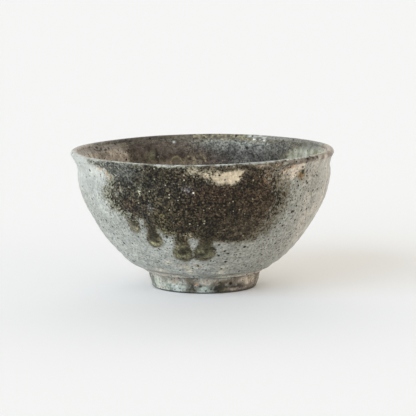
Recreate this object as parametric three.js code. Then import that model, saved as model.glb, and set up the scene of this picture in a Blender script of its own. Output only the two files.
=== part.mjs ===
// A hand-thrown stoneware tea bowl, in millimetres, +Z up, standing on z = 0.
// It is built up in the layers that a potter and a kiln give it: a thrown body, a turned foot ring,
// a pale jacket of glaze outside, a lining inside, a glaze on part of the foot, and ash that melted
// over the rim, hangs on the front wall as a curtain and ran on down in four tongues.
// A bearing is an angle around the bowl, in degrees from the front (-Y), positive towards +X.
// A wall share is a height on the wall: 0 at the foot, 1 at the lip's widest line.

import * as THREE from 'three';

// Bowl
const bowlHeight = 65.6;
const rimRadius = 62.4;
const lipFlare = 2.4; // the lip stands out this far past the slight waist below it
const lipFlareHeight = 8.3; // from the waist up to the lip's widest line
const lipThickness = 3.4;
const wallThickness = 4.2; // through glaze, clay and lining
const floorThickness = 6.0; // from the foot ring's top to the tea well
const wellRoundingHeight = 3.0; // over which the wall turns into the well

// Wall curve: how far its two ends keep their own direction
const wallRunOut = 12.9; // outwards from the foot
const wallLift = 4.4; // upwards over that run
const waistDrop = 17.2; // straight down from the waist
const flareStart = 5.8; // straight up from the waist
const flareEnd = 0.8; // straight down from the lip's widest line

// Foot
const footHeight = 8.0;
const footTopRadius = 26.6;
const footBottomRadius = 25.2;
const footInnerRadius = 20.5;
const footEdge = 0.7; // bevel around the standing face
const footShoulder = 0.8; // the wall starts this far outside the foot's top

// Layers
const outerGlazeThickness = 0.6;
const innerGlazeThickness = 0.5;
const footGlazeThickness = 0.4;
const curtainThickness = 0.6;
const innerCurtainThickness = 0.5;
const featherThickness = 0.2; // ash at its edges
const seatGap = 0.3; // between a coat and what it lies on

// Front ash curtain: its hem and its top edge, as [bearing, wall share]
const curtainHem = [
  [-50, 0.76],
  [-47, 0.64],
  [-40, 0.52],
  [-28, 0.45],
  [-17, 0.46],
  [-4, 0.43],
  [8, 0.38],
  [31, 0.41],
  [36, 0.56],
  [40, 0.76],
];
const curtainTop = [
  [-50, 0.97],
  [-1, 0.97],
  [9, 0.885], // below the bare patch
  [15, 0.885],
  [20, 0.97],
  [26, 0.96],
  [40, 0.86],
];

// Tongues that ran on below the hem: the largest of each size, and each tongue's share of it
const runLength = 14.5;
const runWidth = 6.4;
const runBulbWidth = 10.0;
const runThickness = 1.0;
const ashRuns = [
  { name: 'ash_run_far_left', bearing: -36.5, long: 0.45, wide: 0.7, bulb: 0.46, thick: 0.7 },
  { name: 'ash_run_left', bearing: -26.5, long: 0.6, wide: 0.8, bulb: 0.64, thick: 0.9 },
  { name: 'ash_run_middle', bearing: -12.0, long: 1, wide: 0.95, bulb: 0.82, thick: 1 },
  { name: 'ash_run_right', bearing: 1.5, long: 0.9, wide: 1, bulb: 1, thick: 1 },
];

// Ash on the inside of the back wall, opposite the curtain, as [bearing, wall share]
const innerCurtainHem = [
  [135, 0.74],
  [148, 0.6],
  [160, 0.66],
  [172, 0.52],
  [184, 0.62],
  [197, 0.54],
  [208, 0.66],
  [221, 0.76],
];
const innerCurtainTopShare = 0.95;

// Glaze that ran over the foot
const footGlazeLeftBearing = -150;
const footGlazeRightBearing = 26;
const footGlazeBareHeight = 1.0; // the glaze stops this far above the standing face

// Fineness of the turned and the coated surfaces
const turnSegments = 48;
const wallSteps = 9;
const flareSteps = 6;
const lipSteps = 6;
const wellSteps = 4;
const coatColumnDegrees = 3.2;
const footColumnDegrees = 7;

// Heights and lines that follow from the sizes
const lipRadius = lipThickness / 2;
const lipHeight = bowlHeight - lipRadius;
const neckHeight = lipHeight - lipFlareHeight;
const neckRadius = rimRadius - lipFlare;
const wellHeight = footHeight + floorThickness;
const wallStart = new THREE.Vector2(footTopRadius + footShoulder, footHeight);

function wallShareToHeight(share) {
  return THREE.MathUtils.lerp(footHeight, lipHeight, share);
}

// Outside of the glazed wall, from the foot up to the lip's widest line
function outerWallLine() {
  const neck = new THREE.Vector2(neckRadius, neckHeight);
  const rim = new THREE.Vector2(rimRadius, lipHeight);
  const wall = new THREE.CubicBezierCurve(
    wallStart,
    new THREE.Vector2(wallStart.x + wallRunOut, wallStart.y + wallLift),
    new THREE.Vector2(neckRadius, neckHeight - waistDrop),
    neck,
  );
  const flare = new THREE.CubicBezierCurve(
    neck,
    new THREE.Vector2(neckRadius, neckHeight + flareStart),
    new THREE.Vector2(rimRadius, lipHeight - flareEnd),
    rim,
  );
  return [...wall.getPoints(wallSteps), ...flare.getPoints(flareSteps).slice(1)];
}

// Round lip, from the outer line's end over the crown to the inside
function lipLine() {
  const arc = new THREE.EllipseCurve(rimRadius - lipRadius, lipHeight, lipRadius, lipRadius, 0, Math.PI);
  return arc.getPoints(lipSteps).slice(1);
}

// Unit normals of a line, on its right-hand side; a line that ends on the axis goes on as its mirror image
function lineNormals(line) {
  return line.map((point, index) => {
    const before = line[index - 1] ?? point;
    const mirrored = new THREE.Vector2(-before.x, before.y);
    const after = line[index + 1] ?? (point.x === 0 ? mirrored : point);
    const along = after.clone().sub(before).normalize();
    return new THREE.Vector2(along.y, -along.x);
  });
}

function movedInward(line, normals, distanceAt) {
  return line.map((point, index) => point.clone().addScaledVector(normals[index], -distanceAt(point)));
}

// Inside of the lined wall, from below the lip down to the axis at the tea well
function innerWallLine(outerLine) {
  const taper = (point) => THREE.MathUtils.clamp((lipHeight - point.y) / lipFlareHeight, 0, 1);
  const thicknessAt = (point) => THREE.MathUtils.lerp(lipThickness, wallThickness, taper(point));
  const moved = movedInward(outerLine, lineNormals(outerLine), thicknessAt).reverse();
  const belowLip = moved.filter((point) => point.y < lipHeight - lipRadius);
  const wall = belowLip.filter((point) => point.y > wellHeight + wellRoundingHeight);
  const last = wall.at(-1);
  const slope = last.clone().sub(wall.at(-2));
  const corner = last.clone().addScaledVector(slope, (wellHeight - last.y) / slope.y);
  const well = new THREE.QuadraticBezierCurve(last, corner, new THREE.Vector2(0, wellHeight));
  return [...wall, ...well.getPoints(wellSteps).slice(1)];
}

const outerWall = outerWallLine();
const lip = lipLine();
const skinLine = [...outerWall, ...lip, ...innerWallLine(outerWall)];
const skinNormals = lineNormals(skinLine);
const lipEdge = outerWall.length + lip.length;

const jacketLine = skinLine.slice(0, lipEdge);
const jacketSeat = movedInward(jacketLine, skinNormals.slice(0, lipEdge), () => outerGlazeThickness);
const liningLine = skinLine.slice(lipEdge - 1);
const liningSeat = movedInward(liningLine, skinNormals.slice(lipEdge - 1), () => innerGlazeThickness);

// Radius of a line at a height, between its points
function radiusOn(line) {
  const rising = [...line].sort((first, second) => first.y - second.y);
  return (height) => {
    const found = rising.findIndex((point) => point.y >= height);
    const upper = rising[found < 1 ? rising.length - 1 : found];
    const lower = rising[found < 1 ? rising.length - 2 : found - 1];
    return THREE.MathUtils.mapLinear(height, lower.y, upper.y, lower.x, upper.x);
  };
}

const outsideRadius = radiusOn(outerWall);
const insideRadius = radiusOn(liningLine);

function footRadius(height) {
  return THREE.MathUtils.mapLinear(height, 0, footHeight, footBottomRadius, footTopRadius);
}

// Smooth height of an edge given by a few [bearing, wall share] points
function edgeHeight(edge, bearing) {
  const next = edge.findIndex(([at]) => at >= bearing);
  const right = edge[next < 1 ? edge.length - 1 : next];
  const left = edge[next < 1 ? 0 : next - 1];
  const share = THREE.MathUtils.smoothstep(bearing, left[0], right[0]);
  return wallShareToHeight(THREE.MathUtils.lerp(left[1], right[1], share));
}

// A solid turned about the bowl's axis
function turned(profile) {
  return new THREE.LatheGeometry(profile, turnSegments).rotateX(Math.PI / 2);
}

// A thin closed coat on a turned wall. place(u, v) gives its bearing and height, with u from left to right
// and v from bottom to top; side is 1 on the outside of the wall and -1 on the inside.
function coat({ columns, rows, place, radiusAt, thicknessAt, side = 1 }) {
  const layerSize = (columns + 1) * (rows + 1);
  const positions = [];
  const triangles = [];

  function addLayer(depthAt) {
    for (let row = 0; row <= rows; row++) {
      for (let column = 0; column <= columns; column++) {
        const u = column / columns;
        const v = row / rows;
        const { bearing, height } = place(u, v);
        const angle = THREE.MathUtils.degToRad(bearing);
        const radius = radiusAt(height) + side * depthAt(u, v);
        positions.push(radius * Math.sin(angle), -radius * Math.cos(angle), height);
      }
    }
  }

  function addQuad(a, b, c, d) {
    const corners = [a, b, c, a, c, d];
    triangles.push(...(side > 0 ? corners : corners.reverse()));
  }

  const at = (column, row) => row * (columns + 1) + column;
  addLayer((u, v) => seatGap + thicknessAt(u, v));
  addLayer(() => seatGap);
  for (let row = 0; row < rows; row++) {
    for (let column = 0; column < columns; column++) {
      const quad = [at(column, row), at(column + 1, row), at(column + 1, row + 1), at(column, row + 1)];
      addQuad(...quad);
      addQuad(...quad.reverse().map((corner) => corner + layerSize));
    }
  }

  const border = [];
  for (let column = 0; column < columns; column++) border.push(at(column, 0));
  for (let row = 0; row < rows; row++) border.push(at(columns, row));
  for (let column = columns; column > 0; column--) border.push(at(column, rows));
  for (let row = rows; row > 0; row--) border.push(at(0, row));
  border.forEach((corner, index) => {
    const next = border[(index + 1) % border.length];
    addQuad(next, corner, corner + layerSize, next + layerSize);
  });

  const geometry = new THREE.BufferGeometry();
  geometry.setAttribute('position', new THREE.Float32BufferAttribute(positions, 3));
  geometry.setIndex(triangles);
  return geometry;
}

// Feathered at its edges and full in the middle
function feathered(full) {
  return (u, v) => {
    const middle = Math.sin(Math.PI * u) * Math.sin(Math.PI * v);
    return THREE.MathUtils.lerp(featherThickness, full, Math.sqrt(Math.max(middle, 0)));
  };
}

function bandBetween(left, right, lowAt, highAt) {
  return (u, v) => {
    const bearing = THREE.MathUtils.lerp(left, right, u);
    return { bearing, height: THREE.MathUtils.lerp(lowAt(bearing), highAt(bearing), v) };
  };
}

function columnsFor(left, right, width) {
  return Math.ceil((right - left) / width);
}

function clayBody() {
  const underside = [new THREE.Vector2(0, footHeight), wallStart];
  return turned([...underside, ...jacketSeat, ...liningSeat]);
}

function footRing() {
  return turned([
    new THREE.Vector2(footInnerRadius + footEdge, 0),
    new THREE.Vector2(footBottomRadius - footEdge, 0),
    new THREE.Vector2(footRadius(footEdge), footEdge),
    new THREE.Vector2(footTopRadius, footHeight),
    new THREE.Vector2(footInnerRadius, footHeight),
    new THREE.Vector2(footInnerRadius, footEdge),
    new THREE.Vector2(footInnerRadius + footEdge, 0),
  ]);
}

function outerGlaze() {
  return turned([...jacketLine, ...[...jacketSeat].reverse(), jacketLine[0]]);
}

function innerGlaze() {
  return turned([...[...liningSeat].reverse(), ...liningLine]);
}

function footGlaze() {
  return coat({
    columns: columnsFor(footGlazeLeftBearing, footGlazeRightBearing, footColumnDegrees),
    rows: 3,
    place: bandBetween(
      footGlazeLeftBearing,
      footGlazeRightBearing,
      () => footGlazeBareHeight,
      () => footHeight - seatGap,
    ),
    radiusAt: footRadius,
    thicknessAt: () => footGlazeThickness,
  });
}

function ashCurtain() {
  const left = curtainHem[0][0];
  const right = curtainHem.at(-1)[0];
  return coat({
    columns: columnsFor(left, right, coatColumnDegrees),
    rows: 8,
    place: bandBetween(
      left,
      right,
      (bearing) => edgeHeight(curtainHem, bearing),
      (bearing) => edgeHeight(curtainTop, bearing),
    ),
    radiusAt: outsideRadius,
    thicknessAt: feathered(curtainThickness),
  });
}

// A tongue keeps its width at the hem, swells into a bulb and closes in a round tip
function ashRun({ bearing, long, wide, bulb, thick }) {
  const length = long * runLength;
  const bulbWidth = bulb * runBulbWidth;
  const tip = edgeHeight(curtainHem, bearing) - length;
  const bulbShare = bulbWidth / 2 / length;
  function widthAt(v) {
    const neckShare = THREE.MathUtils.smoothstep(v, bulbShare, 2 * bulbShare);
    const swelling = THREE.MathUtils.lerp(bulbWidth, wide * runWidth, neckShare);
    const closing = Math.min(v / bulbShare, 1);
    return swelling * Math.sqrt(0.1 + 0.9 * closing * (2 - closing));
  }
  function place(u, v) {
    const radius = outsideRadius(THREE.MathUtils.lerp(tip, tip + length, v));
    const turn = THREE.MathUtils.radToDeg(((u - 0.5) * widthAt(v)) / radius);
    const top = edgeHeight(curtainHem, bearing + turn) - seatGap;
    return { bearing: bearing + turn, height: THREE.MathUtils.lerp(tip, top, v) };
  }
  const thicknessAt = feathered(thick * runThickness);
  return coat({ columns: 6, rows: 10, place, radiusAt: outsideRadius, thicknessAt });
}

function innerAshCurtain() {
  const left = innerCurtainHem[0][0];
  const right = innerCurtainHem.at(-1)[0];
  return coat({
    columns: columnsFor(left, right, coatColumnDegrees),
    rows: 12,
    place: bandBetween(
      left,
      right,
      (bearing) => edgeHeight(innerCurtainHem, bearing),
      () => wallShareToHeight(innerCurtainTopShare),
    ),
    radiusAt: insideRadius,
    thicknessAt: feathered(innerCurtainThickness),
    side: -1,
  });
}

function glazed(color, roughness) {
  return new THREE.MeshStandardMaterial({ color, roughness, metalness: 0 });
}

const bowl = new THREE.Group();

function addPiece(name, geometry, material) {
  const mesh = new THREE.Mesh(geometry, material);
  mesh.name = name;
  bowl.add(mesh);
}

addPiece('clay_body', clayBody(), glazed('#b7a08d', 0.9));
addPiece('foot_ring', footRing(), glazed('#ab9a8a', 0.9));
addPiece('outer_glaze', outerGlaze(), glazed('#b4b7b1', 0.4));
addPiece('inner_glaze', innerGlaze(), glazed('#8f8579', 0.35));
addPiece('foot_glaze', footGlaze(), glazed('#c3c8bd', 0.4));
addPiece('ash_curtain', ashCurtain(), glazed('#443d34', 0.6));
for (const run of ashRuns) {
  addPiece(run.name, ashRun(run), glazed('#5f573f', 0.35));
}
addPiece('inner_ash_curtain', innerAshCurtain(), glazed('#504840', 0.4));

export default bowl;
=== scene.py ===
# Looks of a hand-thrown stoneware tea bowl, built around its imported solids.
# Lengths are millimetres unless a comment says metres. A bearing is an angle around the bowl, in degrees
# from the front (-Y), positive towards +X. A level is a height on the wall; past the lip's widest line it
# goes on rising with the way over the round lip. Tones of the bowl are sRGB colours from 0 to 255.

import math
import bpy
import numpy as np
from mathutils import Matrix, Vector


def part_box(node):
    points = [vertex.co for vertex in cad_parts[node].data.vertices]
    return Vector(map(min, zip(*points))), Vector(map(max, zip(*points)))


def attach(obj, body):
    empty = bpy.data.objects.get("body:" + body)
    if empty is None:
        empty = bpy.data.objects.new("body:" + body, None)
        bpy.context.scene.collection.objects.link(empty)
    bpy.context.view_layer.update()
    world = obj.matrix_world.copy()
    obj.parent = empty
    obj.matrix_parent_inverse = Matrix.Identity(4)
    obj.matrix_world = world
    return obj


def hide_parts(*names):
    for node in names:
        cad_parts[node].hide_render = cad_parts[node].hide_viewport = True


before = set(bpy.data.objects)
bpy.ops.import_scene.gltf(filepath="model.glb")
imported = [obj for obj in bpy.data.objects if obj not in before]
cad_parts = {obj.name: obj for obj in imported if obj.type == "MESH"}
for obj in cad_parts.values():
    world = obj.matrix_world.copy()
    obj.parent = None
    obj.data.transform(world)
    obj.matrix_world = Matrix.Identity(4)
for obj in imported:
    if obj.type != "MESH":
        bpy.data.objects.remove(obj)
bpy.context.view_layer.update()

MM = 0.001  # in metres

# Sizes taken from the solids
RIM_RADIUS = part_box("outer_glaze")[1].x / MM
BOWL_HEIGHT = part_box("outer_glaze")[1].z / MM
FOOT_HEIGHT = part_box("foot_ring")[1].z / MM
FOOT_TOP_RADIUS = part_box("foot_ring")[1].x / MM

# Sizes of the section, as in the solids
LIP_FLARE = 2.4
FLARE_HEIGHT = 8.3
LIP_THICKNESS = 3.4
WALL_THICKNESS = 4.2
FLOOR_THICKNESS = 6.0
WELL_ROUNDING = 3.0
WALL_RUN_OUT = 12.9
WALL_LIFT = 4.4
WAIST_DROP = 17.2
FLARE_START = 5.8
FLARE_END = 0.8
FOOT_SHOULDER = 0.8
FOOT_BOTTOM_RADIUS = 25.2
FOOT_INNER_RADIUS = 20.5
FOOT_EDGE = 0.7
GLAZE_THICKNESS = 0.6
LINING_THICKNESS = 0.5

LIP_RADIUS = LIP_THICKNESS / 2
LIP_HEIGHT = BOWL_HEIGHT - LIP_RADIUS
NECK_HEIGHT = LIP_HEIGHT - FLARE_HEIGHT
NECK_RADIUS = RIM_RADIUS - LIP_FLARE
WELL_HEIGHT = FOOT_HEIGHT + FLOOR_THICKNESS
WALL_START = (FOOT_TOP_RADIUS + FOOT_SHOULDER, FOOT_HEIGHT)
CROWN_LEVEL = LIP_HEIGHT + LIP_RADIUS * math.pi / 2
UNROLL_RADIUS = 0.9 * NECK_RADIUS  # outlines on the wall are unrolled at this radius

# Fineness of the meshes; a grid is (rows, columns)
COLUMNS = 560
FRONT_DENSITY = 0.4  # columns crowd towards the front by this share, those of the lining towards the back
OUTER_ROWS = 140
INNER_ROWS = 110
LIP_CROWDING = 1.5  # power by which rows of the lining crowd towards the lip
HIDDEN_ROWS = 10
UNDERSIDE_ROWS = 70
CLAY_OUTER_ROWS = 40
CLAY_INNER_ROWS = 30
FOOT_ROWS = 84
CURTAIN_GRID = (110, 230)
RUN_GRID = (80, 44)
INNER_CURTAIN_GRID = (70, 150)
FOOT_GLAZE_GRID = (30, 340)

# Fineness of the section lines and of the noise
WALL_POINTS = 240
FLARE_POINTS = 60
LIP_POINTS = 41
WELL_POINTS = 60
LATTICE = 32  # noise repeats after this many lumps

# Thin coats lie partly in what they are melted onto: depth of their backs, then of their edges
COAT_SINK = 0.35
CURTAIN_EDGE_SINK = 0.17
RUN_EDGE_SINK = 0.16
INNER_EDGE_SINK = 0.16
FOOT_GLAZE_EDGE_SINK = 0.15

# Ash on the outside: outline of the melted curtain, as (bearing, level)
ASH_TOP = 65.1
ASH_OUTLINE = [
    (-62, ASH_TOP), (-52.6, 63.2), (-48.2, 61.8), (-45.2, 57.2), (-45.6, 54.4), (-49, 49), (-45.4, 43),
    (-39.5, 40.4), (-30, 39.6), (-24.4, 37), (-23, 35.6), (-20.6, 32.6), (-17.2, 32), (-9.5, 31), (-7, 31.4),
    (-4.5, 31), (-2.5, 30.2), (7.3, 28.8), (14.6, 28.1), (23.4, 28.2), (27.8, 29.3), (30.6, 31.6),
    (32.8, 34.4), (35, 37.8), (36.6, 40.8), (38.2, 44), (39.2, 47.2), (39, 50.4), (38, 54), (33.6, 57.4),
    (31, 61), (38, ASH_TOP),
]
HEM_FRAY = 0.55  # how far the ash breaks up into grains along its hem

# Lower border of the curtain's coat, as (bearing, level), and how far it stays below the lip's widest line
CURTAIN_HEM = [(-58, 58), (-50, 43), (-38, 36.5), (-20, 32), (30, 27), (37, 33), (44, 42)]
CURTAIN_BELOW_LIP = 0.2

# Patch below the lip that the ash left bare
BARE_PATCH = [
    (-6.4, 63.8), (-1.3, 63), (2.1, 62.8), (18.6, 62.3), (16.9, 60.6), (16.6, 57.4), (14, 56.5), (10.1, 56.3),
    (6.1, 56.4), (3.1, 57.8), (0.6, 59.4), (-2.6, 61.4), (-6, 62.6),
]

# Tongues of ash that ran on below the curtain; neck and bulb are half widths, pale is how far the lighter end
# goes up as a share of the bulb
BULB_SQUASH = 0.75  # height of a bulb's round end as a share of its half width
RUN_MARGIN = 0.5  # the coat goes on past the run's edge by this much
ASH_RUNS = {
    "ash_run_far_left": {
        "tip": (-36.4, 32.3), "top": (-35.4, 41.5), "neck": 2.7, "bulb": 2.3,
        "thick": 0.4, "pale": 0.9, "tone": (144, 137, 108),
    },
    "ash_run_left": {
        "tip": (-26.5, 25.2), "top": (-26.4, 43), "neck": 2.8, "bulb": 3.7,
        "thick": 0.8, "pale": 0.6, "tone": (150, 145, 114),
    },
    "ash_run_middle": {
        "tip": (-12.6, 18.4), "top": (-10.2, 37), "neck": 3.2, "bulb": 4.5,
        "thick": 0.9, "pale": 0.9, "tone": (108, 105, 80),
    },
    "ash_run_right": {
        "tip": (-0.2, 18.7), "top": (3.2, 36), "neck": 3.2, "bulb": 5.0,
        "thick": 0.9, "pale": 0.9, "tone": (99, 96, 74),
    },
}

# Spots on the outside, each a place as (bearing, level), half width, half height and tone
IRON = (28, 26, 20)
BULB_SPOTS = [
    ((-30, 28.4), 0.9, 0.7, IRON), ((-25, 28.2), 1.3, 1.0, IRON), ((-23.6, 26.6), 0.9, 0.6, IRON),
    ((-13.2, 26.4), 2.8, 1.7, (124, 118, 92)), ((-11.8, 22.6), 2.8, 0.8, (54, 50, 38)),
    ((-0.6, 22.6), 1.6, 0.9, IRON), ((-4.2, 21.8), 0.8, 0.8, IRON), ((4.6, 21.4), 2.0, 0.9, (116, 112, 88)),
]
ASH_PATCHES = [
    ((-40, 58.9), 7.0, 2.8, (98, 99, 94)), ((-37, 54.8), 3.6, 2.0, (30, 28, 23)),
    ((-28.8, 53), 1.0, 1.8, (116, 114, 98)), ((-24.5, 45.2), 1.2, 1.6, (94, 92, 88)),
    ((-36, 44.5), 4.0, 3.4, (66, 54, 42)), ((-27.4, 38.6), 2.4, 5.0, (40, 38, 33)),
    ((-26.6, 33.2), 2.6, 3.6, (46, 43, 34)), ((-20, 40.5), 3.0, 2.6, (72, 66, 46)),
    ((-7, 54), 1.9, 1.6, (84, 84, 88)), ((2, 48), 8.0, 6.0, (37, 29, 21)),
    ((19.5, 58.5), 2.2, 4.0, (32, 27, 21)), ((29.5, 58.2), 1.8, 2.8, (94, 76, 60)),
    ((37, 54.6), 3.2, 2.4, (84, 76, 66)), ((27, 33.5), 12.0, 5.5, (74, 66, 52)),
    ((33.5, 63.4), 3.5, 1.4, (112, 100, 86)), ((27, 64.2), 3.5, 1.2, (104, 93, 80)),
    ((-40.5, 51), 2.6, 2.2, (92, 90, 80)), ((8, 53), 15.0, 3.4, (46, 35, 25)),
    ((-23.5, 54.5), 4.0, 3.0, (30, 28, 22)), ((-11, 56.8), 4.0, 2.4, (34, 30, 23)),
    ((-31, 44.5), 2.5, 2.5, (34, 31, 26)), ((-20.2, 33.6), 2.4, 1.6, (94, 91, 68)),
    ((-15.6, 33.2), 2.0, 1.0, (88, 84, 63)), ((-7, 31.8), 2.6, 1.2, (104, 98, 80)),
]
CREAM = (208, 202, 186)
CREAM_SMEARS = [
    ((-11.5, 12.7), 2.2, 2.4, CREAM), ((13.6, 12.4), 2.0, 2.5, CREAM), ((-24, 17.2), 2.6, 0.9, CREAM),
    ((-37, 11.6), 4.0, 1.4, CREAM),
]
LIP_PITS = [(at, 1.0, 0.8, (34, 32, 29)) for at in [(50.2, 59), (51.6, 64.7), (55.4, 65), (59, 64.8)]]
# Painted highlights: white flecks standing for the key light's reflection on the lip's inner side at the back
PAINTED_LIP_HIGHLIGHTS = [
    (at, 0.936, 0.6, (232, 238, 236)) for at in [(149.4, 68.4), (151.8, 67.6), (154.6, 68.2), (157.2, 67.8)]
]

# Where the ash melted smoother: place, half width, half height and share
STILL_ASH = [
    ((20, 34), 16, 8, 0.3), ((-40, 60.5), 13, 4.5, 0.65), ((-35.5, 43), 5, 3.5, 0.5), ((-27, 36), 3, 6, 0.35),
]

# Where the fire flashed the glaze orange beside the ash: place, half width and half height
FLASHES = [((-50.9, 61.3), 1.5, 0.6), ((-47.4, 59.5), 0.8, 1.3), ((-45.6, 57.5), 0.8, 1.1)]

# Tones of the lip around the bowl: two that mottle it, and the bearings between which they come in
LIP_TONES = [
    ((92, 85, 74), (62, 55, 48), 184, 200), ((152, 146, 134), (128, 121, 110), 222, 246),
    ((146, 144, 134), (122, 119, 109), 160, 146), ((128, 125, 115), (104, 101, 92), 140, 128),
    ((160, 147, 124), (130, 117, 96), 112, 98),
]

# Ash on the inside of the back wall, as (bearing, level)
INNER_ASH_TOP = 66.0
INNER_ASH_OUTLINE = [
    (124, INNER_ASH_TOP), (129, 62), (136.5, 56), (141, 49), (148, 43), (160, 47), (172, 38), (184, 45),
    (197, 40), (208, 47), (219, 54), (221, INNER_ASH_TOP),
]

# Reach of the inner curtain's coat
INNER_COAT_BEARINGS = (128, 225)
INNER_COAT_LEVELS = (35, 61.5)

# Marks on the inside: spots as on the outside, and places alone or with a half width and a half height
BUBBLE = (240.9, 63.7)  # a burst bubble in the lining: a pit with a crescent below it
PIT = (30, 27, 24)
LINING_PITS = [((241, 63.7), 1.1, 0.8, PIT), ((236, 61.8), 0.6, 0.35, PIT), ((232.6, 62.4), 0.5, 0.35, PIT)]
INNER_ARCHES = [(194, 52.5), (187, 52.5), (181.5, 53)]
# Painted highlights: white flecks standing for reflections on the glossy back wall inside
PAINTED_INNER_HIGHLIGHTS = [
    (at, 0.7, 0.5, (232, 236, 234)) for at in [(154.5, 63.8), (151.5, 64.2), (149, 63.6), (194.4, 62.4)]
]
PALE_LEFT = ((214, 55.2), 4.0, 2.6)

# Glaze on the foot ends at these bearings, at its lowest this far above the standing face, and this far below
# the body
FOOT_GLAZE_LEFT = -150
FOOT_GLAZE_RIGHT = 26
FOOT_GLAZE_BARE = 1.0
FOOT_GLAZE_BELOW_BODY = 0.1

# Spots on the foot; the grey one at (-74, 5.2) is painted shade under the body
FOOT_PATCHES = [
    ((-56, 2.8), 4.0, 2.4, (198, 197, 184)), ((-62, 3.6), 1.5, 1.4, (182, 194, 174)),
    ((-74, 5.2), 3.2, 3.2, (92, 92, 84)), ((-40.2, 2.4), 1.8, 2.4, (130, 139, 124)),
    ((-38, 2.2), 0.8, 2.6, (80, 82, 68)), ((-29.6, 2.8), 3.4, 1.7, (200, 208, 202)),
    ((-30, 5.4), 3.0, 1.1, (168, 157, 138)), ((-25, 6.5), 1.0, 0.8, (104, 98, 92)),
    ((-12.6, 5.6), 3.2, 1.8, (106, 96, 80)), ((-17, 1.6), 1.6, 1.0, (112, 108, 88)),
    ((-14.2, 2.5), 2.3, 1.9, (44, 42, 33)), ((-10.4, 1.4), 1.3, 1.0, (88, 81, 60)),
    ((1.6, 5.8), 3.4, 1.1, (174, 166, 152)), ((0, 1.8), 2.6, 1.6, (178, 190, 180)),
    ((-4.7, 3.8), 0.7, 0.5, (70, 61, 51)), ((17.3, 5.3), 3.4, 1.2, (124, 109, 87)),
    ((15.5, 2.9), 4.2, 2.5, (52, 48, 37)), ((14.4, 2.8), 1.8, 1.0, (42, 39, 31)),
    ((21.5, 1.2), 1.8, 0.9, (98, 90, 67)), ((35, 1.9), 2.8, 1.0, (202, 190, 176)),
    ((40.9, 3.4), 3.6, 1.3, (44, 36, 34)), ((31, 2.8), 1.9, 0.5, (62, 53, 46)),
    ((52.8, 5.5), 4.6, 1.8, (200, 187, 171)), ((52.6, 6.2), 1.2, 0.5, (146, 128, 114)),
    ((68.4, 4.5), 1.2, 2.8, (106, 98, 87)), ((-24.5, 3.6), 2.0, 2.2, (166, 171, 162)),
    ((-45, 5.8), 1.6, 1.3, (136, 134, 122)), ((27, 5.6), 2.0, 1.3, (108, 97, 81)),
]

# Iron specks in the glaze: spacing, radius, strength and tone
IRON_SPECKS = [
    (1.4, 0.4, 0.8, (72, 69, 61)), (2.4, 0.53, 0.95, (36, 34, 29)), (4.8, 0.68, 0.95, (26, 24, 21)),
]

# Flecks in the ash: spacing, radius, share of the places that hold one, strength and tone
ASH_FLECKS = [
    (1.6, 0.46, 0.4, 0.5, (126, 111, 86)), (2.3, 0.39, 0.4, 0.65, (190, 182, 158)),
    (4.6, 0.42, 0.45, 0.85, (224, 220, 206)),
]


# Small helpers

def smooth(low, high, value):
    """Smooth step from 0 at low to 1 at high; high may lie below low."""
    t = np.clip((value - low) / (high - low), 0, 1)
    return t * t * (3 - 2 * t)


def within(value, rise, fall):
    """1 between two smooth steps, each given by where it starts and ends."""
    return smooth(*rise, value) * smooth(fall[1], fall[0], value)


def hump(value, centre, width):
    """Bell curve of height 1."""
    return np.exp(-((value - centre) / width) ** 2)


def higher(first, second, soft):
    """The higher of two fields, with a soft crossing."""
    overlap = np.maximum(soft - np.abs(first - second), 0)
    return np.maximum(first, second) + overlap * overlap / (4 * soft)


def colour(tone):
    """Linear colour of a tone."""
    share = np.array(tone) / 255
    return np.where(share <= 0.04045, share / 12.92, ((share + 0.055) / 1.055) ** 2.4)


def mixed(first, second, share):
    """Linear colour on the way from one to another, each a tone or an array of linear colours."""
    first, second = (colour(tone) if isinstance(tone, tuple) else tone for tone in (first, second))
    return first + (second - first) * np.asarray(share)[..., None]


def noise(points, size, seed):
    """Smooth noise from -1 to 1, with lumps of about the given size."""
    lattice = np.random.default_rng(seed).uniform(-1, 1, (LATTICE, LATTICE, LATTICE))
    scaled = points / size
    base = np.floor(scaled).astype(int)
    t = scaled - base
    t = t * t * (3 - 2 * t)
    total = np.zeros(points.shape[:-1])
    for corner in np.ndindex(2, 2, 2):
        weight = np.prod(np.where(np.array(corner) == 1, t, 1 - t), axis=-1)
        at = (base + np.array(corner)) % LATTICE
        total += weight * lattice[at[..., 0], at[..., 1], at[..., 2]]
    return total


def sideways(bearing, centre, radius):
    """How far a place lies to the right of a bearing, along the wall."""
    turn = (bearing - centre + 180) % 360 - 180
    return np.radians(turn) * radius


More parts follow.
